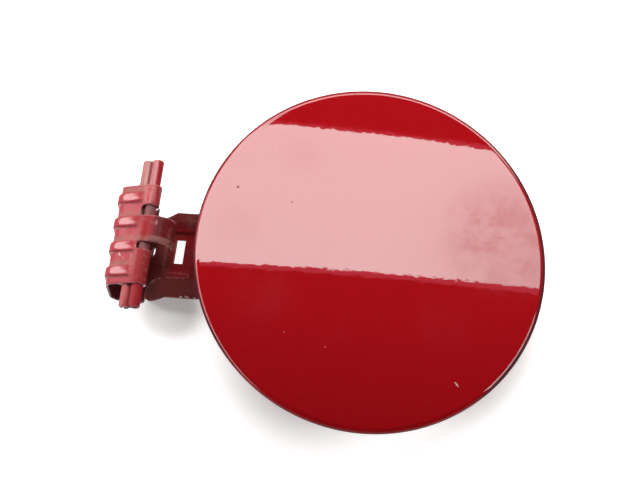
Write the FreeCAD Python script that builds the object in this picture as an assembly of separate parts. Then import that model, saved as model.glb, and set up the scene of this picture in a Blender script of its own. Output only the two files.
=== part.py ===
import FreeCAD, Part
import math
import os

os.makedirs("parts", exist_ok=True)

# A round fuel filler door: a hemmed lid on a stamped gooseneck arm that swings on a slotted pin.
# Origin on the pivot axis, midway along the pin. +X runs from the pivot to the lid, +Z out of the lid.

# Lid, in millimetres
LID_DIAMETER = 150.0
CROWN_RADIUS = 1500.0
PIVOT_TO_LID_EDGE = 21.0
LID_SHIFT = 1.0
FACE_ABOVE_PIVOT = 15.5
SKIN = 1.0
HEM_WIDTH = 6.0
INNER_SHEET = 0.9
HEM_CLEARANCE = 0.2
INNER_EDGE_CLEARANCE = 0.5
PLATEAU_MARGIN = 17.0
PLATEAU_DEPTH = 9.0
PLATEAU_WALL_ANGLE = 40.0
PLATEAU_BEND = 3.0
DRAIN_HOLE_DIAMETER = 7.0
DRAIN_HOLE_PITCH = 76.0

# Pins
PIN_DIAMETER = 5.0
PIN_LENGTH = 66.0
PIN_WALL = 1.0
PIN_SLIT = 0.8
PIN_CHAMFER = 0.6
PIN_SPACING = 0.3
PIN_CLEARANCE = 0.05
PIVOT_SLIT_ANGLE = 150.0
SPRING_SLIT_ANGLE = 250.0

# Gooseneck arm
ARM_SHEET = 1.0
FLAP_WIDTH = 44.0
FLAP_SHIFT = -1.0
FLAP_SLOPE = 38.0
UPPER_KNUCKLE = 9.0
LOWER_KNUCKLE = 15.0
UPPER_NOTCH = 5.0
LOWER_NOTCH = 3.5
ROLL_END_GAP = 0.4
TONGUE_BEND = 8.2
TONGUE_DROP = 1.2
BACK_WALL = 13.8
BACK_BEND = 7.0
HOOK_DEPTH = 38.0
HOOK_FLAT = 0.4
TOE_BEND = 5.5
RISE_ANGLE = 65.0
SHELF_START = 5.0
SHELF_DEPTH = 24.2
SHELF_SLOPE = 17.0
SHELF_END = 22.0
SHELF_BEND = 8.0
HEEL_BEND = 6.0
NECK_ANGLE = 62.0
NECK_BEND = 6.0
SHANK_WIDTH = 26.5
FLARE_START = 1.5
FLARE_RADIUS = 6.0
SKIRT_DROP = 7.5
SKIRT_SPREAD = 6.75
SKIRT_BELOW_HOOK = 4.0
PAD_REACH = 48.0
PAD_CORNER = 6.0

# Pressed details of the arm
RIB_WIDTH = 5.0
RIB_HEIGHT = 1.1
RIB_PITCH = 11.0
RIB_COUNT = 4
RIB_START = 1.5
RIB_RAMP = 2.0
RECESS_DEPTH = 2.2
RECESS_WIDTH = 20.0
RECESS_START = 7.0
RECESS_LENGTH = 20.6
RECESS_CORNER = 3.0
SLOT_WIDTH = 4.2
SLOT_LENGTH = 11.0
SLOT_FROM_PIVOT = 13.5
HOLE_DIAMETER = 4.4
HOLE_FROM_PIVOT = 2.5
BEAD_LENGTH = 10.5
BEAD_WIDTH = 2.2
BEAD_HEIGHT = 0.5
BEAD_FROM_PIVOT = 14.6

# Latch striker on the back of the lid
STRIKER_SHEET = 2.0
STRIKER_WIDTH = 18.0
STRIKER_FROM_EDGE = 25.0
STRIKER_FOOT = 16.0
STRIKER_DROP = 19.0
STRIKER_LIP = 6.0
STRIKER_BEND = 3.0
WINDOW_WIDTH = 9.0
WINDOW_HEIGHT = 7.0
WINDOW_ABOVE_LIP = 4.5

# Values worked out from the sizes above
FLAP_LOW = FLAP_SHIFT - FLAP_WIDTH / 2
FLAP_HIGH = FLAP_SHIFT + FLAP_WIDTH / 2
PIN_RADIUS = PIN_DIAMETER / 2
PIN_PITCH = PIN_DIAMETER + PIN_SPACING
ROLL = PIN_RADIUS + PIN_CLEARANCE + ARM_SHEET / 2
HALF_ARM = ARM_SHEET / 2
LID_CENTRE = PIVOT_TO_LID_EDGE + LID_DIAMETER / 2
HEM_GAP = INNER_SHEET + 2 * HEM_CLEARANCE
HEM_BEND = (HEM_GAP + SKIN) / 2
EDGE_RADIUS = HEM_BEND + SKIN / 2
CROWN_MIDDLE = CROWN_RADIUS - SKIN / 2
RIM_ANGLE = math.asin((LID_DIAMETER / 2 - EDGE_RADIUS) / (CROWN_MIDDLE - HEM_BEND))
PLATEAU_MIDDLE = FACE_ABOVE_PIVOT - PLATEAU_DEPTH
PLATEAU_BACK = PLATEAU_MIDDLE - INNER_SHEET / 2
PAD_MIDDLE = PLATEAU_BACK - HALF_ARM
REACH_ALL = 4 * LID_DIAMETER
SLIVER = 1e-6


def tangent(degrees):
    """Tangent of an angle in degrees."""
    return math.tan(math.radians(degrees))


def in_plane(point):
    """A point of the XZ plane as a vector."""
    return FreeCAD.Vector(point[0], 0, point[1])


def turned(point, degrees):
    """A point of the XZ plane turned about the pivot, from +X towards +Z."""
    angle = math.radians(degrees)
    x = point[0] * math.cos(angle) - point[1] * math.sin(angle)
    z = point[0] * math.sin(angle) + point[1] * math.cos(angle)
    return (x, z)


def bent_edges(corners, bends, shift):
    """Edges of a bent line: straight between its corners, rounded at each, moved to its left by shift."""
    points = [in_plane(corner) for corner in corners]
    runs = [(b - a).normalize() for a, b in zip(points, points[1:])]
    sides = [FreeCAD.Vector(-run.z, 0, run.x) for run in runs]
    edges = []
    start = points[0] + sides[0] * shift
    for i, bend in enumerate(bends):
        corner = points[i + 1]
        turn = runs[i].x * runs[i + 1].z - runs[i].z * runs[i + 1].x
        hand = math.copysign(1.0, turn)
        reach = bend * math.tan(runs[i].getAngle(runs[i + 1]) / 2)
        bend_start = corner - runs[i] * reach
        bend_end = corner + runs[i + 1] * reach
        centre = bend_start + sides[i] * (bend * hand)
        middle = centre + (corner - centre).normalize() * (bend - hand * shift)
        arc_start = bend_start + sides[i] * shift
        arc_end = bend_end + sides[i + 1] * shift
        if (arc_start - start).Length > SLIVER:
            edges.append(Part.makeLine(start, arc_start))
        edges.append(Part.Arc(arc_start, middle, arc_end).toShape())
        start = arc_end
    end = points[-1] + sides[-1] * shift
    if (end - start).Length > SLIVER:
        edges.append(Part.makeLine(start, end))
    return edges


def strip_face(corners, bends, low, high):
    """Section of a bent sheet between two shifts to the left of its line."""
    first = bent_edges(corners, bends, low)
    second = bent_edges(corners, bends, high)
    closing = [
        Part.makeLine(first[-1].lastVertex(True).Point, second[-1].lastVertex(True).Point),
        Part.makeLine(second[0].firstVertex(True).Point, first[0].firstVertex(True).Point),
    ]
    return Part.Face(Part.Wire(Part.__sortEdges__(first + second + closing)))


def strip(corners, bends, low, high, y_from, y_to):
    """Bent sheet between two shifts of its line, and between two places along Y."""
    face = strip_face(corners, bends, low, high)
    face.translate(FreeCAD.Vector(0, y_from, 0))
    return face.extrude(FreeCAD.Vector(0, y_to - y_from, 0))


def revolved(corners, bends, sheet):
    """Round panel: a bent sheet turned about the lid's own axis."""
    face = strip_face(corners, bends, -sheet / 2, sheet / 2)
    solid = face.revolve(FreeCAD.Vector(0, 0, 0), FreeCAD.Vector(0, 0, 1), 360)
    solid.translate(FreeCAD.Vector(LID_CENTRE, LID_SHIFT, 0))
    return solid


def crown_point(angle, depth):
    """A point under the crowned face, at an angle from the lid's axis and a depth below the face."""
    radius = CROWN_RADIUS - depth
    return (radius * math.sin(angle), FACE_ABOVE_PIVOT - CROWN_RADIUS + radius * math.cos(angle))


def along(point, angle, outward, inward):
    """A point moved outward along the face's slope and in towards the back of the lid."""
    x = point[0] + outward * math.cos(angle) - inward * math.sin(angle)
    z = point[1] - outward * math.sin(angle) - inward * math.cos(angle)
    return (x, z)


def lid_outer_panel():
    """Crowned skin with its edge folded back into a hem."""
    apex = crown_point(0, SKIN / 2)
    rim = crown_point(RIM_ANGLE, SKIN / 2)
    shoulder = (CROWN_MIDDLE * math.tan(RIM_ANGLE / 2), apex[1])
    fold_top = along(rim, RIM_ANGLE, HEM_BEND, 0)
    fold_bottom = along(rim, RIM_ANGLE, HEM_BEND, 2 * HEM_BEND)
    hem_end = along(rim, RIM_ANGLE, -HEM_WIDTH, 2 * HEM_BEND)
    corners = [apex, shoulder, fold_top, fold_bottom, hem_end]
    return revolved(corners, [CROWN_MIDDLE, HEM_BEND, HEM_BEND], SKIN)


def lid_inner_panel():
    """Stiffening pan: its rim lies in the hem and its plateau carries the arm."""
    rim = crown_point(RIM_ANGLE, SKIN / 2)
    ring_end = along(rim, RIM_ANGLE, HEM_GAP / 2 - INNER_EDGE_CLEARANCE, HEM_BEND)
    wall_foot = (LID_DIAMETER / 2 - PLATEAU_MARGIN, PLATEAU_MIDDLE)
    rise = ring_end[1] + ring_end[0] * math.tan(RIM_ANGLE) - PLATEAU_MIDDLE
    slopes = tangent(PLATEAU_WALL_ANGLE) + math.tan(RIM_ANGLE)
    run = (rise - wall_foot[0] * math.tan(RIM_ANGLE)) / slopes
    wall_top = (wall_foot[0] + run, PLATEAU_MIDDLE + run * tangent(PLATEAU_WALL_ANGLE))
    corners = [(0, PLATEAU_MIDDLE), wall_foot, wall_top, ring_end]
    panel = revolved(corners, [PLATEAU_BEND, PLATEAU_BEND], INNER_SHEET)
    for side in (-1, 1):
        across = LID_SHIFT + side * DRAIN_HOLE_PITCH / 2
        place = FreeCAD.Vector(LID_CENTRE, across, PLATEAU_BACK - INNER_SHEET)
        panel = panel.cut(Part.makeCylinder(DRAIN_HOLE_DIAMETER / 2, 3 * INNER_SHEET, place))
    return panel


def slotted_pin(centre, slit_angle):
    """Rolled spring pin along Y with chamfered ends and a slit facing the given angle."""
    along_pin = FreeCAD.Vector(0, 1, 0)
    start = FreeCAD.Vector(0, -PIN_LENGTH / 2, 0)
    pin = Part.makeCylinder(PIN_RADIUS, PIN_LENGTH, start, along_pin)
    rims = [edge for edge in pin.Edges if isinstance(edge.Curve, Part.Circle)]
    pin = pin.makeChamfer(PIN_CHAMFER, rims)
    pin = pin.cut(Part.makeCylinder(PIN_RADIUS - PIN_WALL, PIN_LENGTH, start, along_pin))
    corner = FreeCAD.Vector(0, -PIN_LENGTH / 2, -PIN_SLIT / 2)
    slit = Part.makeBox(PIN_DIAMETER, PIN_LENGTH, PIN_SLIT, corner)
    slit.rotate(FreeCAD.Vector(0, 0, 0), along_pin, -slit_angle)
    pin = pin.cut(slit)
    pin.translate(in_plane(centre))
    return pin


def toe_corner():
    """Corner of the arm's middle line where the hook's foot turns up into the rise."""
    return (SHELF_START - (HOOK_DEPTH - SHELF_DEPTH) / tangent(RISE_ANGLE), -HOOK_DEPTH)


def toe_reach():
    """Length that the toe's bend takes from each side of its corner."""
    return TOE_BEND * tangent(RISE_ANGLE / 2)


def hook_bend():
    """Bend radius that fills the hook's foot, up to the flat before the toe."""
    return BACK_WALL + toe_corner()[0] - toe_reach() - HOOK_FLAT


def arm_corners():
    """Corners of the arm's middle line: from the flap over the pin, down and round to the lid's pad."""
    flap_end = turned((0, ROLL), FLAP_SLOPE)
    flap_drop = (BACK_WALL + flap_end[0]) * tangent(FLAP_SLOPE)
    back_top = (-BACK_WALL, flap_end[1] - flap_drop)
    shelf_start = (SHELF_START, -SHELF_DEPTH)
    shelf_end = (SHELF_END, -SHELF_DEPTH + (SHELF_END - SHELF_START) * tangent(SHELF_SLOPE))
    neck_top = (SHELF_END + (PAD_MIDDLE - shelf_end[1]) / tangent(NECK_ANGLE), PAD_MIDDLE)
    pad_end = (neck_top[0] + PAD_REACH, PAD_MIDDLE)
    back_foot = (-BACK_WALL, -HOOK_DEPTH)
    return [flap_end, back_top, back_foot, toe_corner(), shelf_start, shelf_end, neck_top, pad_end]


def between(start, end, distance):
    """The point at a distance from start towards end."""
    length = math.dist(start, end)
    return tuple(a + (b - a) * distance / length for a, b in zip(start, end))


def rib(corners, y, width, low, high, rounding):
    """Bar along the flap and back wall between two shifts, with ramped ends and rounded outer edges."""
    flap_end, back_top, back_foot = corners[:3]
    lines = []
    for shift, setback in ((high, 0), (low, RIB_RAMP)):
        first = between(flap_end, back_top, RIB_START + setback)
        last = between(back_foot, back_top, hook_bend() + setback)
        lines.append(bent_edges([first, back_top, last], [BACK_BEND], shift))
    inner, outer = lines
    ends = [
        Part.makeLine(inner[-1].lastVertex(True).Point, outer[-1].lastVertex(True).Point),
        Part.makeLine(outer[0].firstVertex(True).Point, inner[0].firstVertex(True).Point),
    ]
    face = Part.Face(Part.Wire(Part.__sortEdges__(inner + outer + ends)))
    face.translate(FreeCAD.Vector(0, y - width / 2, 0))
    bar = face.extrude(FreeCAD.Vector(0, width, 0))
    if rounding > 0:
        centres = [edge.CenterOfMass for edge in outer]
        long_edges = [edge for edge in bar.Edges if over_any(edge.CenterOfMass, centres)]
        bar = bar.makeFillet(rounding, long_edges)
    return bar


def over_any(point, centres):
    """Whether a point lies straight along Y from any of the centres."""
    return any(math.hypot(point.x - c.x, point.z - c.z) < SLIVER for c in centres)


def plan_prism():
    """Tall prism over the plan of the shank: straight sides that flare out to the flap's width."""
    half_shank = SHANK_WIDTH / 2
    half_flap = FLAP_WIDTH / 2
    slant = math.sqrt(0.5) * FLARE_RADIUS
    flare_end = FLARE_START + FLARE_RADIUS
    sides = []
    for side in (-1, 1):
        tip = FreeCAD.Vector(REACH_ALL, side * half_shank, 0)
        straight = FreeCAD.Vector(flare_end, side * half_shank, 0)
        middle = FreeCAD.Vector(flare_end - slant, side * (half_shank + FLARE_RADIUS - slant), 0)
        shoulder = FreeCAD.Vector(FLARE_START, side * (half_shank + FLARE_RADIUS), 0)
        corner = FreeCAD.Vector(FLARE_START, FLAP_SHIFT + side * half_flap, 0)
        back = FreeCAD.Vector(-REACH_ALL, FLAP_SHIFT + side * half_flap, 0)
        sides += [Part.makeLine(tip, straight), Part.Arc(straight, middle, shoulder).toShape()]
        sides += [Part.makeLine(shoulder, corner), Part.makeLine(corner, back)]
    sides += [
        Part.makeLine(sides[0].firstVertex(True).Point, sides[4].firstVertex(True).Point),
        Part.makeLine(sides[3].lastVertex(True).Point, sides[7].lastVertex(True).Point),
    ]
    prism = Part.Face(Part.Wire(Part.__sortEdges__(sides))).extrude(FreeCAD.Vector(0, 0, 2 * REACH_ALL))
    prism.translate(FreeCAD.Vector(0, 0, -REACH_ALL))
    return prism


def skirt(line, bends, side):
    """Slanted outer wall of the shank on one side, hanging from the edge of its sheet."""
    path = Part.Wire(bent_edges(line, bends, 0))
    start = in_plane(line[0])
    run = (in_plane(line[1]) - start).normalize()
    up = FreeCAD.Vector(-run.z, 0, run.x)
    breadth = ARM_SHEET * math.hypot(1, SKIRT_SPREAD / SKIRT_DROP)
    outer = SHANK_WIDTH / 2
    places = [
        (outer - breadth, HALF_ARM),
        (outer, HALF_ARM),
        (outer + SKIRT_SPREAD, HALF_ARM - SKIRT_DROP),
        (outer + SKIRT_SPREAD - breadth, HALF_ARM - SKIRT_DROP),
    ]
    points = [start + FreeCAD.Vector(0, side * across, 0) + up * high for across, high in places]
    section = Part.makePolygon(points + points[:1])
    return path.makePipeShell([section], True, False)


def recess_prism(inset):
    """Tall prism over the plan of the shank's recess, with rounded corners."""
    length = RECESS_LENGTH - 2 * inset
    width = RECESS_WIDTH - 2 * inset
    corner = FreeCAD.Vector(RECESS_START + inset, -width / 2, -REACH_ALL)
    box = Part.makeBox(length, width, 2 * REACH_ALL, corner)
    uprights = [edge for edge in box.Edges if edge.Length > REACH_ALL]
    return box.makeFillet(RECESS_CORNER - inset, uprights)


def flap():
    """Flap, back wall and hook of the arm, with pressed ribs over its back and notched free edge."""
    corners = arm_corners()
    line = corners[:4] + [shank_start(corners)]
    bends = [BACK_BEND, hook_bend(), TOE_BEND]
    sheet = strip(line, bends, -HALF_ARM, HALF_ARM, FLAP_LOW, FLAP_HIGH)
    crest = -HALF_ARM - RIB_HEIGHT
    for i in range(RIB_COUNT):
        y = FLAP_SHIFT + (i - (RIB_COUNT - 1) / 2) * RIB_PITCH
        sheet = sheet.fuse(rib(corners, y, RIB_WIDTH, crest, 0, RIB_HEIGHT))
        sheet = sheet.cut(rib(corners, y, RIB_WIDTH - ARM_SHEET, HALF_ARM - RIB_HEIGHT, ARM_SHEET, 0))
    across = in_plane(turned((0, 1), FLAP_SLOPE))
    for low, high in notches():
        foot = in_plane(turned((0, ROLL - ARM_SHEET), FLAP_SLOPE))
        foot.y = (low + high) / 2
        sheet = sheet.cut(Part.makeCylinder((high - low) / 2, 2 * ARM_SHEET, foot, across))
    return sheet


def notches():
    """Places along Y of the two notches beside the tongue."""
    lower = FLAP_LOW + LOWER_KNUCKLE
    upper = FLAP_HIGH - UPPER_KNUCKLE
    return [(lower, lower + LOWER_NOTCH), (upper - UPPER_NOTCH, upper)]


def knuckle(y_from, y_to):
    """Flat roll of the flap's free edge, round the pivot pin and back under the spring pin."""
    roll_back = -PIN_PITCH - ROLL
    roll_end = ROLL - HALF_ARM - ROLL_END_GAP
    corners = [(0, ROLL), (ROLL, ROLL), (ROLL, -ROLL), (roll_back, -ROLL), (roll_back, roll_end)]
    line = [turned(corner, FLAP_SLOPE) for corner in corners]
    return strip(line, [ROLL] * 3, -HALF_ARM, HALF_ARM, y_from, y_to)


def tongue(y_from, y_to):
    """Stop tongue that runs on from the flap, over the pivot pin and down in front of it."""
    start = turned((0, ROLL), FLAP_SLOPE)
    reach = TONGUE_BEND * tangent((90 + FLAP_SLOPE) / 2)
    corner = turned((reach, ROLL), FLAP_SLOPE)
    end = (corner[0], corner[1] - reach - TONGUE_DROP)
    return strip([start, corner, end], [TONGUE_BEND], -HALF_ARM, HALF_ARM, y_from, y_to)


def shank_start(corners):
    """The place on the rise, just past the hook's toe, where the shank takes over from the flap."""
    toe, shelf_start = corners[3:5]
    return between(toe, shelf_start, toe_reach() + HALF_ARM)


def shank():
    """Channel from the hook to the lid: rise, recessed shelf, neck and welding pad."""
    corners = arm_corners()
    line = [shank_start(corners)] + corners[4:]
    bends = [SHELF_BEND, HEEL_BEND, NECK_BEND]
    sheet = strip(line, bends, -HALF_ARM, HALF_ARM, FLAP_LOW, FLAP_HIGH).common(plan_prism())
    back_foot, toe = corners[2:4]
    neck_end = between(line[3], line[2], NECK_BEND)
    skirt_line = [between(toe, back_foot, TOE_BEND), toe] + line[1:3] + [neck_end]
    under = Part.makeBox(REACH_ALL, REACH_ALL, REACH_ALL)
    foot = -HOOK_DEPTH - HALF_ARM - SKIRT_BELOW_HOOK
    under.translate(FreeCAD.Vector(-REACH_ALL / 2, -REACH_ALL / 2, foot - REACH_ALL))
    for side in (-1, 1):
        sheet = sheet.fuse(skirt(skirt_line, [TOE_BEND] + bends[:2], side).cut(under))
    floor = strip(line, bends, -HALF_ARM - RECESS_DEPTH, HALF_ARM - RECESS_DEPTH, FLAP_LOW, FLAP_HIGH)
    step = strip(line, bends, -HALF_ARM - RECESS_DEPTH, HALF_ARM, FLAP_LOW, FLAP_HIGH)
    mouth = recess_prism(0)
    bowl = floor.common(mouth).fuse(step.common(mouth.cut(recess_prism(ARM_SHEET))))
    return sheet.cut(mouth.common(step)).fuse(bowl)


def pad_corners(arm):
    """Round the two outer corners of the welding pad."""
    tip = max(vertex.X for vertex in arm.Vertexes)
    end_edges = [edge for edge in arm.Edges if edge.BoundBox.XMin > tip - SLIVER]
    uprights = [edge for edge in end_edges if edge.BoundBox.ZLength > SLIVER]
    return arm.makeFillet(PAD_CORNER, uprights)


def set_square(shape, place, slope):
    """Turn a shape that was made on the XY plane square to a sloping sheet, and move it to its place."""
    shape.rotate(FreeCAD.Vector(0, 0, 0), FreeCAD.Vector(0, 1, 0), -slope)
    shape.translate(in_plane(place))
    return shape


def through_cut(face, place, slope, reach):
    """Cutter from a face in the XY plane, set square to the sheet and reaching out on both sides of it."""
    cutter = face.extrude(FreeCAD.Vector(0, 0, 2 * reach))
    cutter.translate(FreeCAD.Vector(0, 0, -reach))
    return set_square(cutter, place, slope)


def on_shelf(corners, from_pivot):
    """The place on the shelf's middle line at a distance along X from the pivot."""
    shelf_start, shelf_end = corners[4:6]
    return between(shelf_start, shelf_end, (from_pivot - SHELF_START) / math.cos(math.radians(SHELF_SLOPE)))


def rail_bead(corners):
    """Small raised bead on the shelf's lower rail, beside the recess, with rounded ends and edges."""
    rail = -(RECESS_WIDTH + SHANK_WIDTH) / 4
    corner = FreeCAD.Vector(-BEAD_LENGTH / 2, rail - BEAD_WIDTH / 2, 0)
    bar = Part.makeBox(BEAD_LENGTH, BEAD_WIDTH, HALF_ARM + BEAD_HEIGHT, corner)
    bar = bar.makeFillet(BEAD_WIDTH * 0.45, [edge for edge in bar.Edges if edge.BoundBox.ZLength > SLIVER])
    top = [edge for edge in bar.Edges if edge.BoundBox.ZMin > HALF_ARM]
    bar = bar.makeFillet(BEAD_HEIGHT * 0.8, top)
    return set_square(bar, on_shelf(corners, BEAD_FROM_PIVOT), SHELF_SLOPE)


def hinge_arm():
    """The one-piece stamped arm: flap with rolled knuckles and stop tongue, hook, shank and pad."""
    lower_notch, upper_notch = notches()
    arm = flap().fuse([
        knuckle(FLAP_LOW, lower_notch[0]),
        knuckle(upper_notch[1], FLAP_HIGH),
        tongue(lower_notch[1], upper_notch[0]),
        shank(),
    ])
    corners = arm_corners()
    toe, shelf_start = corners[3:5]
    hole_reach = (HOLE_FROM_PIVOT - toe[0]) / math.cos(math.radians(RISE_ANGLE))
    hole_place = between(toe, shelf_start, hole_reach)
    hole = Part.Face(Part.Wire(Part.makeCircle(HOLE_DIAMETER / 2)))
    arm = arm.cut(through_cut(hole, hole_place, RISE_ANGLE, ARM_SHEET))
    slot_place = on_shelf(corners, SLOT_FROM_PIVOT)
    slot = Part.makePlane(SLOT_WIDTH, SLOT_LENGTH, FreeCAD.Vector(-SLOT_WIDTH / 2, -SLOT_LENGTH / 2, 0))
    arm = arm.cut(through_cut(slot, slot_place, SHELF_SLOPE, RECESS_DEPTH + ARM_SHEET))
    return pad_corners(arm.fuse(rail_bead(corners)).removeSplitter())


def latch_striker():
    """Bent catch on the plateau with a window for the latch bolt."""
    middle = PLATEAU_BACK - STRIKER_SHEET / 2
    leg = LID_CENTRE + LID_DIAMETER / 2 - STRIKER_FROM_EDGE
    foot = PLATEAU_BACK - STRIKER_DROP + STRIKER_SHEET / 2
    corners = [(leg - STRIKER_FOOT, middle), (leg, middle), (leg, foot), (leg - STRIKER_LIP, foot)]
    low = LID_SHIFT - STRIKER_WIDTH / 2
    high = LID_SHIFT + STRIKER_WIDTH / 2
    striker = strip(corners, [STRIKER_BEND] * 2, -STRIKER_SHEET / 2, STRIKER_SHEET / 2, low, high)
    corner = FreeCAD.Vector(leg - STRIKER_SHEET, LID_SHIFT - WINDOW_WIDTH / 2, foot + WINDOW_ABOVE_LIP)
    return striker.cut(Part.makeBox(2 * STRIKER_SHEET, WINDOW_WIDTH, WINDOW_HEIGHT, corner))


def build():
    """Make every piece and write one file for each."""
    spring_pin_place = turned((-PIN_PITCH, 0), FLAP_SLOPE)
    pieces = {
        "lid_outer_panel": lid_outer_panel(),
        "lid_inner_panel": lid_inner_panel(),
        "hinge_arm": hinge_arm(),
        "pivot_pin": slotted_pin((0, 0), PIVOT_SLIT_ANGLE),
        "spring_pin": slotted_pin(spring_pin_place, SPRING_SLIT_ANGLE),
        "latch_striker": latch_striker(),
    }
    for name, shape in pieces.items():
        print(name, shape.isValid(), len(shape.Solids), round(shape.Volume, 1), shape.optimalBoundingBox())
        shape.exportStep("parts/" + name + ".step")


build()
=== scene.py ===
import logging
import math
from abc import ABC, abstractmethod
from collections.abc import Mapping
from dataclasses import dataclass
from enum import Enum
from typing import ClassVar, Union

import bmesh
import bpy
from mathutils import Matrix, Vector


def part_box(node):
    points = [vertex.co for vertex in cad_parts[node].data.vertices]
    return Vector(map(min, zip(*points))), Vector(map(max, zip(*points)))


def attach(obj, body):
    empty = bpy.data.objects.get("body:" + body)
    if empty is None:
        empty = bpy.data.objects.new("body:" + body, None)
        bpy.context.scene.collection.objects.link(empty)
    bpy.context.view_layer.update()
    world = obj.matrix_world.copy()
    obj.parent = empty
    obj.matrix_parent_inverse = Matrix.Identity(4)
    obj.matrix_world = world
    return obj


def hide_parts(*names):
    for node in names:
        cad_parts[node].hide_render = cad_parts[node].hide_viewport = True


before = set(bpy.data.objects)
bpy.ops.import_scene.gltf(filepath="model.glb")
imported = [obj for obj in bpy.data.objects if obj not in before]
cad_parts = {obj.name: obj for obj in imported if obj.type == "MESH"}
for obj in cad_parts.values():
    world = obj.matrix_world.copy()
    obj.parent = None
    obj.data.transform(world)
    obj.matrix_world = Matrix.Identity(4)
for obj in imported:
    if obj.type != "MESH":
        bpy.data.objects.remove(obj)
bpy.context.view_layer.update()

LOG = logging.getLogger("filler_door")
DOOR = "door"
PIVOT = "pivot"

Colour = tuple[float, float, float]
Point = tuple[float, float, float]
Span = tuple[float, float]
Number = Union["Signal", float]
Socket = bpy.types.NodeSocket
Sockets = Mapping[Union[str, int], object]
Coat = tuple[object, "Signal"]

WHITE: Colour = (1.0, 1.0, 1.0)
BLACK: Colour = (0.0, 0.0, 0.0)
FLAT: Point = (1.0, 1.0, 0.0)
UPRIGHT: Point = (0.0, 0.0, 1.0)
LAMP_RUN: Point = (0.99815, 0.0609, 0.0)
PAINT_IOR = 1.5
EDGE_TURN: Span = (0.985, 0.86)
EDGE_SAMPLES = 6
SHELTER_SAMPLES = 8
SPECK_CORE = 0.6
FLAT_FACE_WEIGHT = 100


class Slot(Enum):
    """Material slots of the record."""

    LID = "lid_paint"
    BACK = "back_paint"
    ARM = "arm_paint"
    PIN = "pin_paint"


class Role(Enum):
    """What a flat panel does: it lights, only shows in reflections, or only casts a shadow."""

    LIGHT = "light"
    GLINT = "glint"
    CARD = "card"


@dataclass(frozen=True)
class Grain:
    """A noise pattern: features in a metre, octaves and the weight of the finer ones."""

    scale: float
    detail: float = 2.0
    rough: float = 0.5


@dataclass(frozen=True)
class Speck:
    """A small mark on a surface: its place, radius and colour."""

    place: Point
    radius: float
    colour: Colour


@dataclass(frozen=True)
class Touch:
    """A soft round patch on a surface: its place, radius and weight."""

    place: Point
    radius: float
    weight: float


class Signal:
    """A value socket that takes part in Python expressions."""

    def __init__(self, recipe: "Recipe", socket: Socket) -> None:
        """Wrap a socket.

        Args:
            recipe: The node tree that the socket belongs to.
            socket: The output socket.
        """
        self.recipe = recipe
        self.socket = socket

    def __add__(self, other: Number) -> "Signal":
        """Sum with a value on either side."""
        return self.recipe.maths("ADD", self, other)

    __radd__ = __add__

    def __sub__(self, other: Number) -> "Signal":
        """Difference from a value on the right."""
        return self.recipe.maths("SUBTRACT", self, other)

    def __rsub__(self, other: Number) -> "Signal":
        """Difference from a value on the left."""
        return self.recipe.maths("SUBTRACT", other, self)

    def __mul__(self, other: Number) -> "Signal":
        """Product with a value."""
        return self.recipe.maths("MULTIPLY", self, other)

    def __truediv__(self, other: Number) -> "Signal":
        """Quotient by a value."""
        return self.recipe.maths("DIVIDE", self, other)

    def __abs__(self) -> "Signal":
        """Size without the sign."""
        return self.recipe.maths("ABSOLUTE", self, 0.0)

    def part(self) -> "Signal":
        """What is left above the next whole number down."""
        return self.recipe.maths("FRACT", self, 0.0)

    def most(self, other: Number) -> "Signal":
        """The larger of two values."""
        return self.recipe.maths("MAXIMUM", self, other)

    def least(self, other: Number) -> "Signal":
        """The smaller of two values."""
        return self.recipe.maths("MINIMUM", self, other)

    def between(self, low: float, high: float) -> "Signal":
        """A value from low, where this one is 0, to high, where it is 1."""
        return low + self * (high - low)

    def rise(self, low: float, high: float) -> "Signal":
        """A smooth step.

        Args:
            low: Where the result is 0.
            high: Where the result is 1, which may lie below low.

        Returns:
            A mask from 0 to 1.
        """
        near, far = min(low, high), max(low, high)
        ends = (0.0, 1.0) if low < high else (1.0, 0.0)
        sockets = {"Value": self, "From Min": near, "From Max": far, "To Min": ends[0], "To Max": ends[1]}
        made = self.recipe.node("ShaderNodeMapRange", {"interpolation_type": "SMOOTHSTEP"}, sockets)
        return Signal(self.recipe, made.outputs["Result"])


@dataclass(frozen=True)
class Zone:
    """A part of space with soft sides: along each axis, where it is 0 and where it is 1, or None for all of it."""

    x: Span | None = None
    y: Span | None = None
    z: Span | None = None

    def mask(self, axes: tuple[Signal, Signal, Signal]) -> Signal:
        """Make the zone's mask.

        Args:
            axes: The three parts of the coordinates.

        Returns:
            A mask that is 1 inside.
        """
        spans = (self.x, self.y, self.z)
        sides = [axis.rise(*span) for axis, span in zip(axes, spans) if span is not None]
        return math.prod(sides[1:], start=sides[0])


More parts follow.
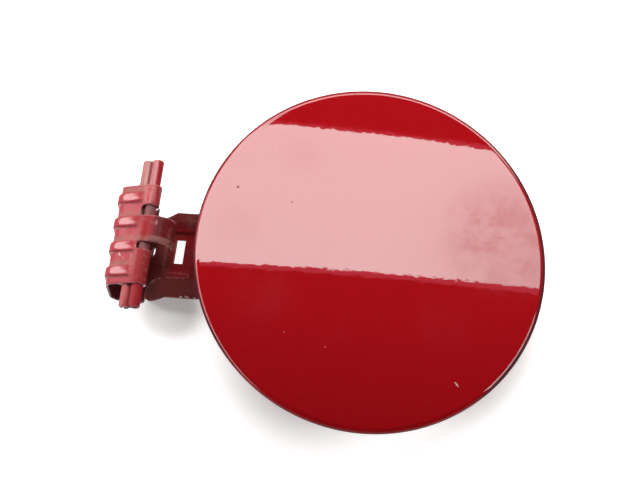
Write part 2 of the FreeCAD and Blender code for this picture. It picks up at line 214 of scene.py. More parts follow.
class Recipe:
    """A material or world under construction."""

    def __init__(self, owner: Union[bpy.types.Material, bpy.types.World]) -> None:
        """Start from an empty node tree.

        Args:
            owner: The material or world whose nodes are made.
        """
        owner.use_nodes = True
        self.tree = owner.node_tree
        self.tree.nodes.clear()

    def node(
        self, kind: str, settings: Mapping[str, object] | None = None, sockets: Sockets | None = None
    ) -> bpy.types.Node:
        """Add one node.

        Args:
            kind: Blender's name of the node's type.
            settings: The node's own settings, set before its sockets.
            sockets: Values, signals or sockets for its inputs, by name or by place.

        Returns:
            The new node.
        """
        made = self.tree.nodes.new(kind)
        for name, value in (settings or {}).items():
            setattr(made, name, value)
        for name, value in (sockets or {}).items():
            if isinstance(value, Signal):
                self.tree.links.new(value.socket, made.inputs[name])
            elif isinstance(value, Socket):
                self.tree.links.new(value, made.inputs[name])
            else:
                made.inputs[name].default_value = value
        return made

    def maths(self, operation: str, first: Number, second: Number) -> Signal:
        """A Math node on two values."""
        made = self.node("ShaderNodeMath", {"operation": operation}, {0: first, 1: second})
        return Signal(self, made.outputs["Value"])

    def place(self) -> Socket:
        """Object coordinates, in metres."""
        return self.node("ShaderNodeTexCoord").outputs["Object"]

    def stretched(self, place: Socket, scale: Point) -> Socket:
        """Coordinates stretched by a factor along each axis."""
        return self.node("ShaderNodeMapping", {}, {"Vector": place, "Scale": scale}).outputs["Vector"]

    def noise(self, place: Socket, grain: Grain) -> Signal:
        """Smooth noise about 0.5.

        Args:
            place: The coordinates.
            grain: The pattern.

        Returns:
            The noise.
        """
        sockets = {"Vector": place, "Scale": grain.scale, "Detail": grain.detail, "Roughness": grain.rough}
        return Signal(self, self.node("ShaderNodeTexNoise", {}, sockets).outputs["Fac"])

    def cells(self, place: Socket, scale: float) -> Signal:
        """Distance to the nearest of many scattered points, in cells."""
        made = self.node("ShaderNodeTexVoronoi", {}, {"Vector": place, "Scale": scale})
        return Signal(self, made.outputs["Distance"])

    def near(self, place: Socket, point: Point) -> Signal:
        """Distance from a point, in metres."""
        made = self.node("ShaderNodeVectorMath", {"operation": "DISTANCE"}, {0: place, 1: point})
        return Signal(self, made.outputs["Value"])

    def patch(self, place: Socket, touch: Touch, core: float) -> Signal:
        """A soft round patch.

        Args:
            place: The coordinates.
            touch: The patch.
            core: Share of its radius within which it has its full weight.

        Returns:
            A mask from 0 to the patch's weight.
        """
        return self.near(place, touch.place).rise(touch.radius, touch.radius * core) * touch.weight

    def spot(self, place: Socket, speck: Speck, ragged: Signal, spread: float) -> Signal:
        """A small mark with a ragged edge.

        Args:
            place: The coordinates.
            speck: The mark.
            ragged: Noise about 0.5 that moves the edge.
            spread: How far it moves the edge, in radii.

        Returns:
            A mask that is 1 on the mark.
        """
        away = self.near(place, speck.place) + (ragged - 0.5) * (speck.radius * spread)
        return away.rise(speck.radius, speck.radius * SPECK_CORE)

    def axes(self, place: Socket) -> tuple[Signal, Signal, Signal]:
        """The three parts of a vector."""
        made = self.node("ShaderNodeSeparateXYZ", {}, {"Vector": place})
        return tuple(Signal(self, made.outputs[name]) for name in "XYZ")

    def blend(self, mask: Number, first: object, second: object) -> Socket:
        """A colour between two.

        Args:
            mask: 0 for the first colour and 1 for the second.
            first: A colour or a colour socket.
            second: A colour or a colour socket.

        Returns:
            The mixed colour.
        """
        ends = [(*end, 1.0) if isinstance(end, tuple) else end for end in (first, second)]
        made = self.node("ShaderNodeMix", {"data_type": "RGBA"}, {0: mask, 6: ends[0], 7: ends[1]})
        return made.outputs[2]

    def bump(self, height: Signal, normal: Socket | None = None) -> Socket:
        """A normal bent by a height.

        Args:
            height: Height in metres.
            normal: A normal to start from.

        Returns:
            The bent normal.
        """
        sockets = {"Height": height, "Distance": 1.0, "Strength": 1.0}
        if normal is not None:
            sockets["Normal"] = normal
        return self.node("ShaderNodeBump", {}, sockets).outputs["Normal"]

    def soft_edges(self, radius: float) -> Socket:
        """The normal of the surface with its edges rounded over."""
        return self.node("ShaderNodeBevel", {"samples": EDGE_SAMPLES}, {"Radius": radius}).outputs["Normal"]

    def edges(self, rounded: Socket) -> Signal:
        """Where a surface bends sharply.

        Args:
            rounded: The normal with its edges rounded over.

        Returns:
            A mask that is 1 on the edges.
        """
        flat = self.node("ShaderNodeNewGeometry").outputs["Normal"]
        made = self.node("ShaderNodeVectorMath", {"operation": "DOT_PRODUCT"}, {0: rounded, 1: flat})
        return Signal(self, made.outputs["Value"]).rise(*EDGE_TURN)

    def shelter(self, reach: float) -> Signal:
        """How open a place is to its surroundings: 1 in the open and 0 in a tight corner."""
        made = self.node("ShaderNodeAmbientOcclusion", {"samples": SHELTER_SAMPLES}, {"Distance": reach})
        return Signal(self, made.outputs["AO"])

    def principled(self, sockets: Sockets) -> Socket:
        """A Principled shader with these values or links."""
        return self.node("ShaderNodeBsdfPrincipled", {}, sockets).outputs["BSDF"]

    def mixed(self, mask: Union[Signal, Socket], first: Socket, second: Socket) -> Socket:
        """A shader that is the first one where the mask is 0 and the second where it is 1."""
        return self.node("ShaderNodeMixShader", {}, {0: mask, 1: first, 2: second}).outputs["Shader"]

    def layered(self, paint: Coat, dust: Coat, shine: float, normal: Socket, cover: Signal) -> Socket:
        """Body paint under dust.

        Args:
            paint: Colour and roughness of the paint.
            dust: Colour and roughness of the dust.
            shine: Specular level of the dust.
            normal: The normal of both.
            cover: 0 where only paint shows and 1 where only dust does.

        Returns:
            The mixed shader.
        """
        under = {"Base Color": paint[0], "Roughness": paint[1], "IOR": PAINT_IOR, "Normal": normal}
        over = {"Base Color": dust[0], "Roughness": dust[1], "Specular IOR Level": shine, "Normal": normal}
        return self.mixed(cover, self.principled(under), self.principled(over))


class Finish(ABC):
    """A finish that becomes a material.

    Lengths are in metres, and a pair is where a mask is 0 and where it is 1, or the two ends of a range.
    """

    name: ClassVar[str]

    @abstractmethod
    def shader(self, recipe: Recipe) -> Socket:
        """Make the finish's nodes.

        Args:
            recipe: The material under construction.

        Returns:
            The shader.
        """

    def material(self) -> bpy.types.Material:
        """Make the material.

        Returns:
            The new material.
        """
        made = bpy.data.materials.new(self.name)
        recipe = Recipe(made)
        recipe.node("ShaderNodeOutputMaterial", {}, {"Surface": self.shader(recipe)})
        return made


@dataclass(frozen=True)
class LidPaint(Finish):
    """Glossy body paint with faint orange peel, finger film, flecks, painted shade on the outermost edge and a few
    specks.
    """

    name: ClassVar[str] = Slot.LID.value
    colour: Colour = (0.40, 0.0050, 0.0085)
    haze: Colour = (0.42, 0.035, 0.042)
    fleck: Colour = (0.62, 0.22, 0.24)
    # Dark colour of the lid's outermost rolled edge: painted shade.
    shade_and_grime: Colour = (0.065, 0.010, 0.013)
    roughness: float = 0.012
    film_roughness: float = 0.06
    dust_roughness: Span = (0.8, 1.0)
    dust_shine: float = 0.1
    peel: float = 7.0e-6
    peel_grain: Grain = Grain(330.0, 1.5)
    ripple: float = 3.0e-6
    ripple_grain: Grain = Grain(55.0, 1.0)
    cloud_grain: Grain = Grain(110.0, 5.0, 0.62)
    smear_grain: Grain = Grain(380.0, 4.0, 0.7)
    dust_grain: Grain = Grain(1100.0, 3.0, 0.65)
    film_cloud: Span = (0.58, 0.85)
    film_share: float = 0.3
    touch_core: float = 0.25
    touch_cloud: Span = (0.40, 0.62)
    touch_share: Span = (0.3, 1.0)
    smear_span: Span = (0.38, 0.62)
    smear_share: Span = (0.26, 0.40)
    fleck_cells: float = 420.0
    fleck_size: Span = (0.16, 0.05)
    fleck_grain: Grain = Grain(90.0)
    fleck_span: Span = (0.55, 0.7)
    fleck_share: float = 0.20
    middle: Point = (0.096, 0.001, 0.0)
    # Where the painted shade of the rim begins and how it spreads: further in on the right, faint at the front.
    edge_from: float = 0.0740
    edge_fade: float = 0.0004
    edge_wander: float = 0.0003
    rim_shade_more: float = 0.0008
    rim_shade_right: Span = (0.130, 0.160)
    rim_shade_front: Span = (-0.062, -0.045)
    edge_share: Span = (0.3, 0.95)
    speck_grain: Grain = Grain(1500.0)
    speck_ragged: float = 1.0
    speck_share: float = 0.85
    specks: tuple[Speck, ...] = (
        Speck((0.03591, 0.02191, 0.01415), 0.0008, (0.36, 0.055, 0.06)),
        Speck((0.05939, 0.01860, 0.01495), 0.0006, (0.40, 0.08, 0.085)),
        Speck((0.13625, -0.04810, 0.01412), 0.0004, (0.75, 0.45, 0.43)),
        Speck((0.13690, -0.04870, 0.01409), 0.0005, (0.82, 0.58, 0.56)),
        Speck((0.13755, -0.04935, 0.01406), 0.0004, (0.75, 0.45, 0.43)),
        Speck((0.06346, -0.03725, 0.01464), 0.0004, (0.52, 0.18, 0.17)),
        Speck((0.08096, -0.04107, 0.01483), 0.0004, (0.55, 0.20, 0.19)),
    )
    strewn: Touch = Touch((0.050, -0.018, 0.0145), 0.026, 1.0)
    touches: tuple[Touch, ...] = (
        Touch((0.151, 0.016, 0.0145), 0.034, 1.0),
        Touch((0.060, 0.043, 0.0145), 0.014, 0.25),
        Touch((0.038, 0.006, 0.0143), 0.015, 0.20),
        Touch((0.052, -0.022, 0.0145), 0.018, 0.35),
        Touch((0.128, -0.024, 0.0145), 0.016, 0.25),
    )

    def shader(self, recipe: Recipe) -> Socket:
        """Paint under film, flecks, a painted dark edge and specks."""
        place = recipe.place()
        x, y, _ = recipe.axes(place)
        cloud = recipe.noise(place, self.cloud_grain)
        film = cloud.rise(*self.film_cloud) * self.film_share
        clotted = cloud.rise(*self.touch_cloud).between(*self.touch_share)
        for touch in self.touches:
            film = film.most(recipe.patch(place, touch, self.touch_core) * clotted)
        smear = recipe.noise(place, self.smear_grain).rise(*self.smear_span)
        film = film * smear.between(*self.smear_share)
        strewn = recipe.patch(place, self.strewn, 0.0)
        strewn = strewn.most(recipe.noise(place, self.fleck_grain).rise(*self.fleck_span))
        fleck = recipe.cells(place, self.fleck_cells).rise(*self.fleck_size) * strewn
        # The outermost rolled edge is painted dark: painted shade of the rim, deeper on the right and faint at the
        # front.
        out = recipe.near(recipe.stretched(place, FLAT), self.middle) + (cloud - 0.5) * self.edge_wander
        out = out + x.rise(*self.rim_shade_right) * self.rim_shade_more
        edge = out.rise(self.edge_from, self.edge_from + self.edge_fade)
        edge = edge * y.rise(*self.rim_shade_front).between(*self.edge_share)
        dust = recipe.blend(edge, recipe.blend(fleck, self.haze, self.fleck), self.shade_and_grime)
        cover = film.most(fleck * self.fleck_share).most(edge)
        ragged = recipe.noise(place, self.speck_grain)
        for speck in self.specks:
            hit = recipe.spot(place, speck, ragged, self.speck_ragged)
            dust = recipe.blend(hit, dust, speck.colour)
            cover = cover.most(hit * self.speck_share)
        peel = recipe.noise(place, self.peel_grain) * self.peel
        normal = recipe.bump(peel + recipe.noise(place, self.ripple_grain) * self.ripple)
        gloss = self.roughness + film * self.film_roughness
        matt = recipe.noise(place, self.dust_grain).between(*self.dust_roughness)
        return recipe.layered(((*self.colour, 1.0), gloss), (dust, matt), self.dust_shine, normal, cover)


@dataclass(frozen=True)
class ArmMasks:
    """Where the arm's parts are, what lies on them, and where shade is painted."""

    mottle: Signal
    grit: Signal
    streak: Signal
    crest: Signal
    flap: Signal
    knuckle: Signal
    bright: Signal
    tongue: Signal
    foot: Signal
    shank: Signal
    inside: Signal
    # Mottled dirt on the shank, and corners found by occlusion, where shade is painted.
    settled: Signal
    edge: Signal


@dataclass(frozen=True)
class ArmPaint(Finish):
    """Body paint on pressed steel under dust: clean rib crests, a chalky flap, a shank dark with dust and painted
    shade, painted shade in the hook and corners, and pale edges of wear and painted highlight.
    """

    name: ClassVar[str] = Slot.ARM.value
    colour: Colour = (0.42, 0.008, 0.014)
    pale_pink: Colour = (0.43, 0.050, 0.064)
    beige: Colour = (0.30, 0.135, 0.110)
    rolled: Colour = (0.330, 0.022, 0.027)
    brown: Colour = (0.130, 0.010, 0.013)
    shelf: Colour = (0.290, 0.013, 0.016)
    skirt: Colour = (0.205, 0.038, 0.034)
    # Near black of the shank's +Y side: painted shade.
    flare_shade: Colour = (0.085, 0.003, 0.004)
    # Dark brown of corners and of the mottled shank: painted shade in the corners, dirt on the shank.
    shade_and_grime: Colour = (0.125, 0.050, 0.043)
    # Painted shade inside the hook and in sheltered hollows.
    hook_shade: Colour = (0.090, 0.011, 0.014)
    # Pale pink of scratches and edges; along the edges it is partly a painted highlight.
    worn: Colour = (0.74, 0.36, 0.36)
    steel: Colour = (0.44, 0.31, 0.29)
    roughness: Span = (0.12, 0.20)
    bright_roughness: float = 0.2
    dust_roughness: Span = (0.75, 1.0)
    dust_shine: float = 0.05
    mottle_height: float = 45e-6
    grit_height: float = 8e-6
    bright_height: float = 45e-6
    chip_depth: float = 60e-6
    edge: float = 0.0011
    mottle_grain: Grain = Grain(170.0, 4.0, 0.6)
    grit_grain: Grain = Grain(1100.0, 3.0, 0.6)
    streak_grain: Grain = Grain(1300.0)
    streak_run: Point = (1.0, 0.15, 1.0)
    rib_pitch: float = 0.011
    rib_first: float = -0.0175
    crest_middle: float = -0.0086
    crest_length: float = 0.0046
    crest_width: float = 0.0017
    crest_grit: float = 0.9
    crest_mottle: float = 0.8
    crest_span: Span = (1.2, 0.8)
    crest_zone: Zone = Zone(z=(-0.022, -0.019))
    flap_zone: Zone = Zone(x=(0.0035, 0.0005), z=(-0.016, -0.010))
    knuckle_zone: Zone = Zone(x=(-0.0062, -0.0015), z=(-0.0005, 0.0015))
    upper_zone: Zone = Zone(y=(0.0105, 0.0130))
    tongue_zone: Zone = Zone(x=(0.0010, 0.0050), z=(-0.0115, -0.0085))
    shank_zone: Zone = Zone(x=(-0.0050, 0.0005), z=(-0.0085, -0.0115))
    foot_zone: Zone = Zone(z=(-0.016, -0.010))
    foot_from: Span = (0.0018, 0.0026)
    foot_to: Span = (0.0050, 0.0042)
    foot_mottle: Span = (0.30, 0.55)
    foot_back: Span = (-0.0020, -0.0050)
    foot_middle: float = -0.003
    foot_half: Span = (0.0035, 0.0025)
    hook_back: Span = (-0.01395, -0.01360)
    hook_zone: Zone = Zone(x=(0.0005, -0.0020), z=(-0.0070, -0.0095))
    hook_reach: float = 0.016
    hook_shelter: Span = (0.50, 0.15)
    corner_reach: float = 0.006
    corner_shelter: Span = (0.9, 0.4)
    corner_share: float = 0.4
    shank_mottle: Span = (0.50, 0.70)
    shank_share: float = 0.6
    settled_grit: Span = (0.25, 0.55)
    edge_streak: Span = (0.35, 0.65)
    edge_share: Span = (0.35, 1.0)
    end_face: Span = (0.85, 0.96)
    end_zone: Zone = Zone(z=(-0.0120, -0.0080))
    end_mottle: Span = (0.2, 0.5)
    skirt_front: Span = (-0.0100, -0.0145)
    skirt_root: Span = (0.0130, 0.0080)
    flare_back: Span = (0.0080, 0.0120)
    stain_grain: Grain = Grain(330.0, 5.0, 0.7)
    stain_span: Span = (0.48, 0.72)
    stain_share: float = 0.4
    tongue_stain: float = 0.6
    foot_stain: float = 0.75
    shade_and_grime_share: float = 0.7
    hook_shade_share: float = 0.9
    flap_mottle: Span = (0.35, 0.65)
    flap_cover: Span = (0.74, 0.94)
    crest_clean: float = 0.97
    bright_grit: Span = (0.38, 0.58)
    bright_clean: float = 0.85
    knuckle_cover: float = 0.94
    foot_cover: float = 0.7
    tongue_cover: float = 0.94
    shank_cover: float = 0.96
    settled_cover: float = 0.8
    inside_cover: float = 0.95
    chalk_mottle: Span = (0.4, 0.7)
    chalk_share: float = 0.2
    scratch_streak: Span = (0.68, 0.74)
    scratch_mottle: Span = (0.48, 0.6)
    scratch_share: float = 0.5
    edge_wear_and_highlight: float = 0.85
    edge_clean: float = 0.95
    chip_grain: Grain = Grain(560.0, 3.0, 0.65)
    chip_span: Span = (0.70, 0.73)
    chip_patches: Grain = Grain(70.0)
    chip_patch_span: Span = (0.5, 0.62)
    chip_share: float = 0.8
    ragged_grain: Grain = Grain(700.0, 2.0, 0.6)
    chip_ragged: float = 4.0
    chips: tuple[Speck, ...] = (
        Speck((0.0174, -0.0196, -0.0268), 0.0008, (0.85, 0.80, 0.76)),
        Speck((0.0201, -0.0197, -0.0258), 0.0009, (0.85, 0.80, 0.76)),
        Speck((0.0232, -0.0197, -0.0246), 0.0008, (0.85, 0.80, 0.76)),
        Speck((0.0030, 0.0196, -0.0345), 0.0007, (0.45, 0.36, 0.27)),
        Speck((0.0058, 0.0192, -0.0320), 0.0007, (0.45, 0.36, 0.27)),
        Speck((-0.0102, -0.0100, -0.0035), 0.0006, (0.72, 0.40, 0.40)),
        Speck((-0.0095, -0.0106, -0.0029), 0.0006, (0.72, 0.40, 0.40)),
        Speck((-0.0087, -0.0113, -0.0023), 0.0005, (0.68, 0.33, 0.33)),
        Speck((-0.0079, -0.0119, -0.0017), 0.0005, (0.68, 0.33, 0.33)),
        Speck((-0.0047, -0.0108, 0.0008), 0.0006, (0.64, 0.26, 0.26)),
        Speck((-0.0044, -0.0118, 0.0010), 0.0006, (0.64, 0.26, 0.26)),
        Speck((-0.0048, -0.0128, 0.0007), 0.0005, (0.64, 0.26, 0.26)),
        Speck((0.0037, 0.0037, 0.0046), 0.0009, (0.50, 0.17, 0.15)),
    )

    def masks(self, recipe: Recipe, place: Socket, rounded: Socket) -> ArmMasks:
        """Find the arm's parts and what lies on them.

        Args:
            recipe: The material under construction.
            place: The coordinates.
            rounded: The normal with its edges rounded over.

        Returns:
            The masks.
        """
        axes = recipe.axes(place)
        x, y, _ = axes
        mottle = recipe.noise(place, self.mottle_grain)
        grit = recipe.noise(place, self.grit_grain)
        streak = recipe.noise(recipe.stretched(place, self.streak_run), self.streak_grain)
        side = (((y - self.rib_first) / self.rib_pitch + 0.5).part() - 0.5) * self.rib_pitch
        along = (x - self.crest_middle) / self.crest_length
        across = side / self.crest_width
        ragged = (grit - 0.5) * self.crest_grit + (mottle - 0.5) * self.crest_mottle
        crest = (along * along + across * across + ragged).rise(*self.crest_span) * self.crest_zone.mask(axes)
        knuckle = self.knuckle_zone.mask(axes)
        foot = side.rise(*self.foot_from) * side.rise(*self.foot_to) * mottle.rise(*self.foot_mottle)
        reach = x.rise(*self.foot_back).most(abs(y - self.foot_middle).rise(*self.foot_half))
        shank = self.shank_zone.mask(axes)
        # Inside of the hook, and hollows found by occlusion: where shade is painted.
        inside = x.rise(*self.hook_back) * self.hook_zone.mask(axes)
        # Corners found by occlusion darken: painted shade there, with mottled dirt on the shank.
        corner = recipe.shelter(self.corner_reach).rise(*self.corner_shelter)
        loose = corner * self.corner_share + shank * mottle.rise(*self.shank_mottle) * self.shank_share
        # Sharp edges and sheet end faces, painted pale later: partly worn paint, partly a painted highlight.
        edge = recipe.edges(rounded) * streak.rise(*self.edge_streak).between(*self.edge_share)
        ends = abs(recipe.axes(recipe.node("ShaderNodeNewGeometry").outputs["Normal"])[1])
        ends = ends.rise(*self.end_face) * self.end_zone.mask(axes) * mottle.rise(*self.end_mottle)
        return ArmMasks(
            mottle=mottle,
            grit=grit,
            streak=streak,
            crest=crest,
            flap=self.flap_zone.mask(axes),
            knuckle=knuckle,
            bright=knuckle * self.upper_zone.mask(axes),
            tongue=self.tongue_zone.mask(axes),
            foot=foot * self.foot_zone.mask(axes) * reach,
            shank=shank,
            inside=inside.most(recipe.shelter(self.hook_reach).rise(*self.hook_shelter)),
            settled=loose.least(1.0) * grit.rise(*self.settled_grit),
            edge=edge.most(ends),
        )

    def dust(self, recipe: Recipe, place: Socket, masks: ArmMasks) -> Socket:
        """Colour of what lies on the paint, with painted shade on the shank, in the hook and in corners.

        Args:
            recipe: The material under construction.
            place: The coordinates.
            masks: The arm's masks.

        Returns:
            The colour.
        """
        x, y, _ = recipe.axes(place)
        # The shank is painted darker than the flap, darkest on its +Y side: painted shade of the recess under the
        # lid and flap, over dust that is browner on the skirt.
        low = recipe.blend(y.rise(*self.skirt_front).most(x.rise(*self.skirt_root)), self.shelf, self.skirt)
        low = recipe.blend(y.rise(*self.flare_back), low, self.flare_shade)
        stain = recipe.noise(place, self.stain_grain).rise(*self.stain_span) * self.stain_share
        stain = stain * (masks.knuckle + masks.tongue * self.tongue_stain)
        dust = recipe.blend(masks.knuckle, self.pale_pink, self.rolled)
        dust = recipe.blend(masks.tongue, dust, self.brown)
        dust = recipe.blend((masks.foot * self.foot_stain).most(stain), dust, self.beige)
        dust = recipe.blend(masks.shank, dust, low)
        # Dark brown in corners and in mottled patches on the shank: painted shade in the corners, dirt on the
        # shank.
        dust = recipe.blend(masks.settled * self.shade_and_grime_share, dust, self.shade_and_grime)
        # Near black inside the hook and in sheltered hollows: painted shade.
        return recipe.blend(masks.inside * self.hook_shade_share, dust, self.hook_shade)

    def cover(self, masks: ArmMasks) -> Signal:
        """How far the dust layer, which also carries painted shade, hides the paint.

        Args:
            masks: The arm's masks.

        Returns:
            A mask that is 1 where only dust shows.
        """
        cover = masks.flap * masks.mottle.rise(*self.flap_mottle).between(*self.flap_cover)
        cover = cover * (1 - masks.crest * self.crest_clean)
        cover = cover * (1 - masks.bright * masks.grit.rise(*self.bright_grit) * self.bright_clean)
        for mask, weight in (
            (masks.knuckle - masks.bright, self.knuckle_cover),
            (masks.foot, self.foot_cover),
            (masks.tongue, self.tongue_cover),
            (masks.shank, self.shank_cover),
            (masks.settled, self.settled_cover),
            (masks.inside, self.inside_cover),
        ):
            cover = cover.most(mask * weight)
        return cover

    def shader(self, recipe: Recipe) -> Socket:
        """Paint with pale edges of wear and painted highlight, scratches and chips, under dust and painted shade.
        """
        place = recipe.place()
        rounded = recipe.soft_edges(self.edge)
        masks = self.masks(recipe, place, rounded)
        scratch = masks.streak.rise(*self.scratch_streak) * masks.mottle.rise(*self.scratch_mottle)
        scratch = scratch * (1 - masks.shank) * self.scratch_share
        chip = recipe.noise(place, self.chip_grain).rise(*self.chip_span)
        chip = chip * recipe.noise(place, self.chip_patches).rise(*self.chip_patch_span)
        colour = recipe.blend(masks.mottle.rise(*self.chalk_mottle) * self.chalk_share, self.colour, self.pale_pink)
        # Scratches and edges turn pale: wear, and along the edges partly a painted highlight.
        colour = recipe.blend((scratch + masks.edge * self.edge_wear_and_highlight).least(1.0), colour, self.worn)
        colour = recipe.blend(chip * self.chip_share, colour, self.steel)
        dust = self.dust(recipe, place, masks)
        cover = self.cover(masks) * (1 - chip.most(scratch).most(masks.edge * self.edge_clean))
        ragged = recipe.noise(place, self.ragged_grain)
        for mark in self.chips:
            hit = recipe.spot(place, mark, ragged, self.chip_ragged)
            dust = recipe.blend(hit, dust, mark.colour)
            cover = cover.most(hit)
            chip = chip.most(hit)
        fine = masks.grit * (self.grit_height + masks.bright * self.bright_height)
        normal = recipe.bump(masks.mottle * self.mottle_height + fine - chip * self.chip_depth, rounded)
        gloss = masks.mottle.between(*self.roughness) + masks.bright * self.bright_roughness
        matt = masks.grit.between(*self.dust_roughness)
        return recipe.layered((colour, gloss), (dust, matt), self.dust_shine, normal, cover)


@dataclass(frozen=True)
class BackPaint(Finish):
    """Thin satin paint on the hidden side of the lid, a little dusty."""

    name: ClassVar[str] = Slot.BACK.value
    colour: Colour = (0.30, 0.006, 0.011)
    thin: Colour = (0.24, 0.03, 0.03)
    dust: Colour = (0.20, 0.115, 0.09)
    roughness: Span = (0.28, 0.43)
    dust_roughness: float = 0.3
    mottle_height: float = 18e-6
    grit_height: float = 9e-6
    edge: float = 0.0006
    mottle_grain: Grain = Grain(60.0, 5.0, 0.6)
    grit_grain: Grain = Grain(800.0)
    corner_reach: float = 0.008
    corner_shelter: Span = (0.9, 0.4)
    corner_share: float = 0.6
    cloud_span: Span = (0.5, 0.75)
    cloud_share: float = 0.3
    grit_span: Span = (0.3, 0.65)
    thin_span: Span = (0.4, 0.7)
    thin_share: float = 0.4
    dust_share: float = 0.6

    def shader(self, recipe: Recipe) -> Socket:
        """Thin paint with settled dust mixed into its colour."""
        place = recipe.place()
        mottle = recipe.noise(place, self.mottle_grain)
        grit = recipe.noise(place, self.grit_grain)
        corner = recipe.shelter(self.corner_reach).rise(*self.corner_shelter)
        loose = corner * self.corner_share + mottle.rise(*self.cloud_span) * self.cloud_share
        settled = loose * grit.rise(*self.grit_span)
        colour = recipe.blend(mottle.rise(*self.thin_span) * self.thin_share, self.colour, self.thin)
        colour = recipe.blend(settled.least(1.0) * self.dust_share, colour, self.dust)
        height = mottle * self.mottle_height + grit * self.grit_height
        gloss = mottle.between(*self.roughness) + settled * self.dust_roughness
        normal = recipe.bump(height, recipe.soft_edges(self.edge))
        return recipe.principled({"Base Color": colour, "Roughness": gloss, "IOR": PAINT_IOR, "Normal": normal})


@dataclass(frozen=True)
class PinPaint(Finish):
    """Body paint worn thin in streaks along the pin, a painted highlight in pale pink on the pivot pin's upper
    back, and dull between the knuckles.
    """

    name: ClassVar[str] = Slot.PIN.value
    colour: Colour = (0.38, 0.008, 0.016)
    thin: Colour = (0.43, 0.055, 0.062)
    # Pale pink of the painted highlight on the pivot pin's upper back.
    pale_pink: Colour = (0.54, 0.17, 0.19)
    rubbed: Colour = (0.42, 0.19, 0.155)
    dull: Colour = (0.220, 0.080, 0.076)
    clean: Colour = (0.36, 0.013, 0.021)
    steel: Colour = (0.50, 0.45, 0.42)
    roughness: Span = (0.15, 0.25)
    dust_roughness: Span = (0.60, 0.90)
    dust_shine: float = 0.08
    streak_height: float = 14e-6
    mottle_height: float = 20e-6
    grit_height: float = 4e-6
    edge: float = 0.0004
    streak_grain: Grain = Grain(900.0, 3.0, 0.6)
    streak_run: Point = (1.0, 0.12, 1.0)
    mottle_grain: Grain = Grain(320.0, 3.0)
    grit_grain: Grain = Grain(1500.0)
    spring_side: Span = (-0.0020, -0.0024)
    upper_end: Span = (-0.004, 0.004)
    held_from: Span = (-0.0115, -0.0095)
    held_to: Span = (0.0155, 0.0135)
    tip_from: Span = (0.0322, 0.0326)
    tip_grit: Span = (0.35, 0.6)
    tip_share: float = 0.6
    edge_streak: Span = (0.4, 0.6)
    edge_share: float = 0.5
    thin_mottle: Span = (0.42, 0.66)
    thin_share: Span = (0.1, 0.3)
    spring_thin: float = 0.4
    highlight_side: Span = (0.0006, -0.0004)
    highlit_side: Span = (0.0005, -0.0008)
    highlit_top: Span = (-0.0015, -0.0005)
    clean_side: Span = (-0.0004, 0.0006)
    cover_streak: Span = (0.35, 0.65)
    cover_share: Span = (0.6, 1.0)
    spring_cover: float = 0.65
    highlight_cover: float = 0.62
    clean_cover: float = 0.90
    held_cover: float = 0.92

    def shader(self, recipe: Recipe) -> Socket:
        """Worn paint under dust, with a painted highlight on the pivot pin's upper back."""
        place = recipe.place()
        x, y, z = recipe.axes(place)
        streak = recipe.noise(recipe.stretched(place, self.streak_run), self.streak_grain)
        mottle = recipe.noise(place, self.mottle_grain)
        grit = recipe.noise(place, self.grit_grain)
        spring = x.rise(*self.spring_side)
        upper = y.rise(*self.upper_end)
        held = y.rise(*self.held_from) * y.rise(*self.held_to)
        # The pivot pin's upper back, where a highlight is painted in pale pink.
        back = x.rise(*self.highlit_side) * upper * z.rise(*self.highlit_top) * (1 - spring)
        clean = x.rise(*self.clean_side).most(1 - upper) * (1 - spring)
        tip = abs(y).rise(*self.tip_from) * grit.rise(*self.tip_grit)
        rounded = recipe.soft_edges(self.edge)
        edge = recipe.edges(rounded) * streak.rise(*self.edge_streak)
        bare = (tip * self.tip_share + edge * self.edge_share).least(1.0)
        worn = mottle.rise(*self.thin_mottle) * upper.between(*self.thin_share) + spring * self.spring_thin
        colour = recipe.blend(bare, recipe.blend(worn, self.colour, self.thin), self.steel)
        # Pale pink on the upper back of the pins: a painted highlight.
        dust = recipe.blend(upper * x.rise(*self.highlight_side), self.clean, self.pale_pink)
        dust = recipe.blend(spring * upper, dust, self.rubbed)
        dust = recipe.blend(spring * (1 - upper), dust, self.thin)
        dust = recipe.blend(held, dust, self.dull)
        cover = spring * self.spring_cover + back * self.highlight_cover
        cover = cover * streak.rise(*self.cover_streak).between(*self.cover_share)
        cover = cover.most(clean * self.clean_cover).most(held * self.held_cover) * (1 - bare)
        height = streak * self.streak_height + mottle * self.mottle_height + grit * self.grit_height
        normal = recipe.bump(height, rounded)
        gloss, matt = mottle.between(*self.roughness), grit.between(*self.dust_roughness)
        return recipe.layered((colour, gloss), (dust, matt), self.dust_shine, normal, cover)


